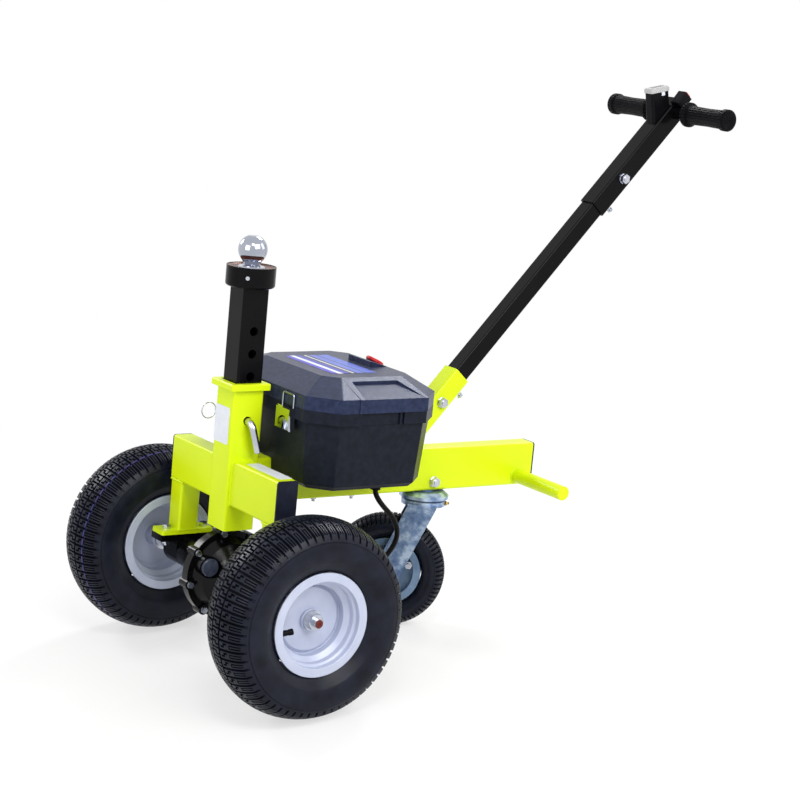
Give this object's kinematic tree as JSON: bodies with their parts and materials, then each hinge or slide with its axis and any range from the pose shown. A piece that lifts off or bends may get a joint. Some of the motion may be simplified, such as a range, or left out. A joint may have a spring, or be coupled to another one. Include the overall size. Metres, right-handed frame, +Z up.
{
  "type": "electric trailer dolly",
  "caption": "Three-wheeled electric trailer dolly: powered drive wheels, swivelling rear caster, tow ball on a pinned post, hinged battery box and pull handle.",
  "frame": {"origin": "middle of the footprint's bounding box, on the floor", "axes": "+X from the hitch post toward the handle, +Y to the operator's right, +Z up"},
  "size_m": [1.1864, 0.6482, 0.9776],
  "materials": {
    "battery_case": "matte",
    "black_paint": "gloss",
    "black_plastic": "matte",
    "box_plastic": "textured",
    "bronze": "dull",
    "cable_rubber": "matte",
    "caster_rim_paint": "satin",
    "chrome": "polished",
    "drive_black": "gloss",
    "frame_paint": "gloss",
    "grip_rubber": "matte",
    "red_plastic": "gloss",
    "rim_paint": "satin",
    "silver_plastic": "satin",
    "tyre": "matte",
    "zinc": "satin"
  },
  "bodies": {
    "chassis": {"ball_cup": "black_paint", "ball_ring": "bronze", "ball_tube": "black_paint", "batteries": "battery_case", "battery_tub": "box_plastic", "box_bolts": "zinc", "cable_glands": "black_plastic", "caster_mount": "zinc", "drive_motor": "drive_black", "end_caps": "black_plastic", "filler_plug": "black_plastic", "foot_bar": "frame_paint", "frame_bolts": "zinc", "gauge_cap": "silver_plastic", "gauge_housing": "black_plastic", "gear_bolts": "zinc", "gear_case": "drive_black", "handle_sleeve": "black_paint", "handle_socket": "frame_paint", "handle_tube": "black_paint", "handlebar": "black_paint", "hinge_pins": "zinc", "hitch_pin": "zinc", "hitch_post": "frame_paint", "latches": "chrome", "left_axle_tube": "drive_black", "left_cross_arm": "frame_paint", "left_foot_plate": "frame_paint", "left_grip": "grip_rubber", "left_leg": "frame_paint", "main_beam": "frame_paint", "pin_clip": "zinc", "post_collar": "frame_paint", "power_cable": "cable_rubber", "right_axle_tube": "drive_black", "right_cross_arm": "frame_paint", "right_foot_plate": "frame_paint", "right_grip": "grip_rubber", "right_leg": "frame_paint", "rocker_switch": "red_plastic", "set_screw": "zinc", "switch_box": "black_plastic", "tow_ball": "chrome"},
    "left_wheel": {"left_axle": "zinc", "left_rim": "rim_paint", "left_tyre": "tyre"},
    "right_wheel": {"right_axle": "zinc", "right_rim": "rim_paint", "right_tyre": "tyre"},
    "lid": {"battery_lid": "box_plastic", "isolator_base": "black_plastic", "isolator_knob": "red_plastic"},
    "caster": {"caster_axle": "zinc", "caster_fork": "zinc"},
    "caster_wheel": {"caster_rim": "caster_rim_paint", "caster_tyre": "tyre", "rim_bolts": "zinc"}
  },
  "joints": [
    {"name": "left_wheel_spin", "type": "hinge", "parent": "chassis", "child": "left_wheel", "pos_m": [-0.42122, -0.262, 0.172], "axis": [0, 1, 0], "continuous": true},
    {"name": "right_wheel_spin", "type": "hinge", "parent": "chassis", "child": "right_wheel", "pos_m": [-0.42122, 0.262, 0.172], "axis": [0, 1, 0], "continuous": true},
    {"name": "lid_hinge", "type": "hinge", "parent": "chassis", "child": "lid", "pos_m": [-0.07311, 0, 0.46052], "axis": [0, 1, 0], "range_deg": [0, 110]},
    {"name": "caster_swivel", "type": "hinge", "parent": "chassis", "child": "caster", "pos_m": [-0.00151, 0, 0.24539], "axis": [0.0988, 0, 0.9951], "continuous": true},
    {"name": "caster_wheel_spin", "type": "hinge", "parent": "caster", "child": "caster_wheel", "pos_m": [-0.05877, 0.03386, 0.10737], "axis": [-0.6126, -0.788, 0.0608], "continuous": true}
  ]
}
